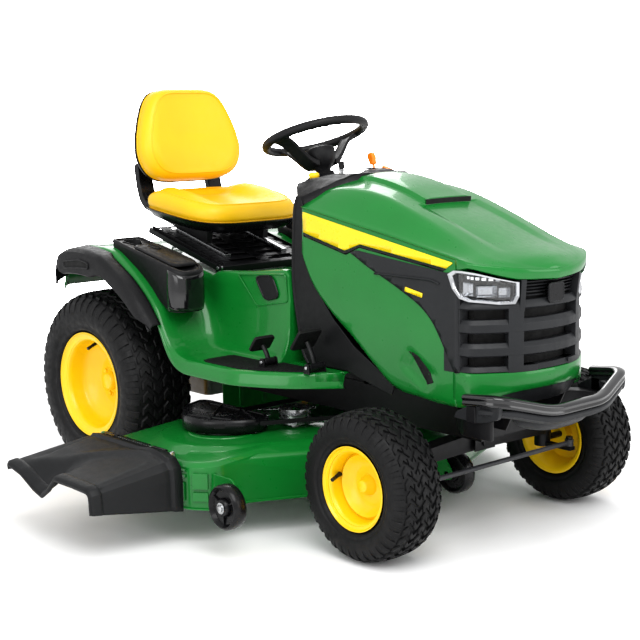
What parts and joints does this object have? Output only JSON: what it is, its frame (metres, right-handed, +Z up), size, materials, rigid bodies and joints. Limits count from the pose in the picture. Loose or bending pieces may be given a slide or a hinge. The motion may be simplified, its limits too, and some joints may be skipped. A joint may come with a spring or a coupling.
{
  "type": "riding lawn mower",
  "caption": "Riding lawn mower with a side-discharge deck, pivoting front axle, tip-up hood and sliding seat.",
  "frame": {"origin": "on the ground, under the middle of the overall length and width, chute included", "axes": "+X forward, +Y to the driver's left, +Z up"},
  "size_m": [1.9189, 1.709, 1.2589],
  "materials": {
    "green_paint": "gloss",
    "green_panel": "gloss",
    "yellow_rim": "gloss",
    "tyre": "moulded turf tread",
    "frame_black": "satin",
    "engine_alloy": "as cast",
    "cast_grey": "painted",
    "bright_steel": "zinc plated",
    "black_plastic": "textured",
    "grey_plastic": "satin",
    "gloss_black": "gloss",
    "black_rubber": "ribbed",
    "seat_vinyl": "satin vinyl over foam",
    "chrome_trim": "bright",
    "lens": "clear",
    "orange_plastic": "satin",
    "knob_yellow": "satin"
  },
  "bodies": {
    "chassis": {"frame_rails": "frame_black", "frame_crossmembers": "frame_black", "transaxle_housing": "engine_alloy", "engine_block": "engine_alloy", "engine_shroud": "black_plastic", "muffler": "frame_black", "battery": "black_plastic", "drive_belt": "black_rubber", "steering_column": "frame_black", "dash_console": "black_plastic", "fender_deck": "green_panel", "footrest_mats": "black_rubber", "storage_trays": "black_plastic", "fuel_tank": "black_plastic", "fender_extensions": "black_plastic", "seat_springs": "bright_steel", "bumper_bar": "gloss_black", "bumper_bracket": "frame_black"},
    "engine_pulley": {"engine_pulley": "bright_steel"},
    "front_axle": {"front_axle_beam": "frame_black"},
    "tie_rod": {"tie_rod": "bright_steel"},
    "steering": {"steering_wheel": "black_plastic"},
    "hood": {"hood_shell": "green_panel", "grille": "grey_plastic", "headlight_bezels": "chrome_trim", "headlight_lenses": "lens"},
    "deck": {"deck_shell": "green_paint", "spindle_housings": "cast_grey", "belt_covers": "black_plastic", "deck_belt": "black_rubber"},
    "chute": {"discharge_chute": "black_plastic"},
    "seat_pan": {"seat_pan": "frame_black"},
    "seat": {"seat_shell": "black_plastic", "seat_cushion": "seat_vinyl", "seat_backrest": "seat_vinyl"},
    "forward_pedal": {"forward_pedal": "black_plastic"},
    "reverse_pedal": {"reverse_pedal": "black_plastic"},
    "brake_pedal": {"brake_pedal": "black_plastic"},
    "lift_pedal": {"lift_pedal": "frame_black"},
    "throttle": {"throttle_lever": "orange_plastic"},
    "pto_knob": {"pto_knob": "knob_yellow"},
    "key": {"ignition_key": "bright_steel"},
    "storage_lid": {"storage_lid": "black_plastic"},
    "fuel_cap": {"fuel_cap": "black_plastic"},
    "rear_wheel_left": {"rear_tyre_left": "tyre", "rear_rim_left": "yellow_rim"},
    "front_wheel_left": {"front_tyre_left": "tyre", "front_rim_left": "yellow_rim"},
    "knuckle_left": {"knuckle_left": "frame_black"},
    "rear_wheel_right": {"rear_tyre_right": "tyre", "rear_rim_right": "yellow_rim"},
    "front_wheel_right": {"front_tyre_right": "tyre", "front_rim_right": "yellow_rim"},
    "knuckle_right": {"knuckle_right": "frame_black"},
    "blade_left": {"blade_left": "bright_steel"},
    "blade_centre": {"blade_centre": "bright_steel"},
    "blade_right": {"blade_right": "bright_steel"},
    "gauge_wheel_left": {"gauge_wheel_left": "black_plastic"},
    "gauge_wheel_right": {"gauge_wheel_right": "black_plastic"},
    "gauge_wheel_front": {"gauge_wheel_front": "black_plastic"}
  },
  "joints": [
    {"name": "crank_spin", "type": "hinge", "parent": "chassis", "child": "engine_pulley", "pos_m": [0.4755, 0.1355, 0.376], "axis": [0, 0, 1], "continuous": true},
    {"name": "axle_pivot", "type": "hinge", "parent": "chassis", "child": "front_axle", "pos_m": [0.5875, 0.1355, 0.252], "axis": [1, 0, 0], "range_deg": [-8, 8]},
    {"name": "steering", "type": "hinge", "parent": "chassis", "child": "steering", "pos_m": [-0.0825, 0.1355, 1.104], "axis": [-0.3338, 0, 0.9426], "range_deg": [-120, 120]},
    {"name": "rear_wheel_left_spin", "type": "hinge", "parent": "chassis", "child": "rear_wheel_left", "pos_m": [-0.6545, 0.5335, 0.305], "axis": [0, 1, 0], "continuous": true},
    {"name": "kingpin_left", "type": "hinge", "parent": "front_axle", "child": "knuckle_left", "pos_m": [0.5875, 0.4355, 0.252], "axis": [0, 0, 1], "range_deg": [-30, 30]},
    {"name": "front_wheel_left_spin", "type": "hinge", "parent": "knuckle_left", "child": "front_wheel_left", "pos_m": [0.5875, 0.5475, 0.203], "axis": [0, 1, 0], "continuous": true},
    {"name": "rear_wheel_right_spin", "type": "hinge", "parent": "chassis", "child": "rear_wheel_right", "pos_m": [-0.6545, -0.2625, 0.305], "axis": [0, 1, 0], "continuous": true},
    {"name": "kingpin_right", "type": "hinge", "parent": "front_axle", "child": "knuckle_right", "pos_m": [0.5875, -0.1645, 0.252], "axis": [0, 0, 1], "range_deg": [-30, 30]},
    {"name": "front_wheel_right_spin", "type": "hinge", "parent": "knuckle_right", "child": "front_wheel_right", "pos_m": [0.5875, -0.2765, 0.203], "axis": [0, 1, 0], "continuous": true},
    {"name": "tie_rod_end", "type": "hinge", "parent": "knuckle_left", "child": "tie_rod", "pos_m": [0.6875, 0.4355, 0.208], "axis": [0, 0, 1], "range_deg": [-30, 30]},
    {"name": "hood_hinge", "type": "hinge", "parent": "chassis", "child": "hood", "pos_m": [0.8255, 0.1355, 0.455], "axis": [0, 1, 0], "range_deg": [0, 50]},
    {"name": "deck_lift", "type": "slide", "parent": "chassis", "child": "deck", "axis": [0, 0, 1], "range_m": [-0.06, 0]},
    {"name": "blade_left_spin", "type": "hinge", "parent": "deck", "child": "blade_left", "pos_m": [-0.0145, 0.5755, 0.2], "axis": [0, 0, 1], "continuous": true},
    {"name": "blade_centre_spin", "type": "hinge", "parent": "deck", "child": "blade_centre", "pos_m": [0.1905, 0.1355, 0.2], "axis": [0, 0, 1], "continuous": true},
    {"name": "blade_right_spin", "type": "hinge", "parent": "deck", "child": "blade_right", "pos_m": [-0.0145, -0.3045, 0.2], "axis": [0, 0, 1], "continuous": true},
    {"name": "gauge_wheel_left_spin", "type": "hinge", "parent": "deck", "child": "gauge_wheel_left", "pos_m": [0.3205, 0.8255, 0.142], "axis": [0, 1, 0], "continuous": true},
    {"name": "gauge_wheel_right_spin", "type": "hinge", "parent": "deck", "child": "gauge_wheel_right", "pos_m": [0.3205, -0.5545, 0.142], "axis": [0, 1, 0], "continuous": true},
    {"name": "gauge_wheel_front_spin", "type": "hinge", "parent": "deck", "child": "gauge_wheel_front", "pos_m": [0.5105, 0.1355, 0.142], "axis": [0, 1, 0], "continuous": true},
    {"name": "chute_hinge", "type": "hinge", "parent": "deck", "child": "chute", "pos_m": [-0.0845, -0.5705, 0.247], "axis": [-1, 0, 0], "range_deg": [0, 80]},
    {"name": "seat_hinge", "type": "hinge", "parent": "chassis", "child": "seat_pan", "pos_m": [-0.3195, 0.1355, 0.69], "axis": [0, 1, 0], "range_deg": [0, 40]},
    {"name": "seat_slide", "type": "slide", "parent": "seat_pan", "child": "seat", "axis": [0.9659, 0, -0.2588], "range_m": [-0.05, 0.05]},
    {"name": "forward_pedal_hinge", "type": "hinge", "parent": "chassis", "child": "forward_pedal", "pos_m": [0.2405, -0.1645, 0.458], "axis": [0, 1, 0], "range_deg": [0, 15], "stiffness_Nm_per_rad": 6, "springref_deg": -11.46},
    {"name": "reverse_pedal_hinge", "type": "hinge", "parent": "chassis", "child": "reverse_pedal", "pos_m": [0.0805, -0.2045, 0.458], "axis": [0, 1, 0], "range_deg": [0, 15], "stiffness_Nm_per_rad": 6, "springref_deg": -11.46},
    {"name": "brake_pedal_hinge", "type": "hinge", "parent": "chassis", "child": "brake_pedal", "pos_m": [0.2405, 0.4355, 0.458], "axis": [0, 1, 0], "range_deg": [0, 15], "stiffness_Nm_per_rad": 6, "springref_deg": -11.46},
    {"name": "lift_pedal_hinge", "type": "hinge", "parent": "chassis", "child": "lift_pedal", "pos_m": [-0.0945, 0.1355, 0.33], "axis": [0, -1, 0], "range_deg": [0, 35]},
    {"name": "throttle_hinge", "type": "hinge", "parent": "chassis", "child": "throttle", "pos_m": [0.0515, 0.2655, 0.96], "axis": [0, 1, 0], "range_deg": [-18, 18]},
    {"name": "pto_pull", "type": "slide", "parent": "chassis", "child": "pto_knob", "axis": [0, 0, 1], "range_m": [0, 0.015]},
    {"name": "key_turn", "type": "hinge", "parent": "chassis", "child": "key", "pos_m": [0.0905, 0.0855, 0.99], "axis": [0, 0, 1], "range_deg": [0, 60]},
    {"name": "lid_hinge", "type": "hinge", "parent": "chassis", "child": "storage_lid", "pos_m": [-0.2865, -0.2195, 0.7175], "axis": [0, 1, 0], "range_deg": [0, 80]},
    {"name": "fuel_cap_turn", "type": "hinge", "parent": "chassis", "child": "fuel_cap", "pos_m": [-0.5945, 0.4755, 0.8], "axis": [0, 0, 1], "range_deg": [0, 90]}
  ],
  "couplings": [
    {"joint": "kingpin_left", "follows": "steering", "ratio": 0.25},
    {"joint": "kingpin_right", "follows": "steering", "ratio": 0.25},
    {"joint": "tie_rod_end", "follows": "steering", "ratio": -0.25},
    {"joint": "blade_left_spin", "follows": "blade_centre_spin", "ratio": 1},
    {"joint": "blade_right_spin", "follows": "blade_centre_spin", "ratio": 1},
    {"joint": "lift_pedal_hinge", "follows": "deck_lift", "rad_per_m": -10.15}
  ]
}
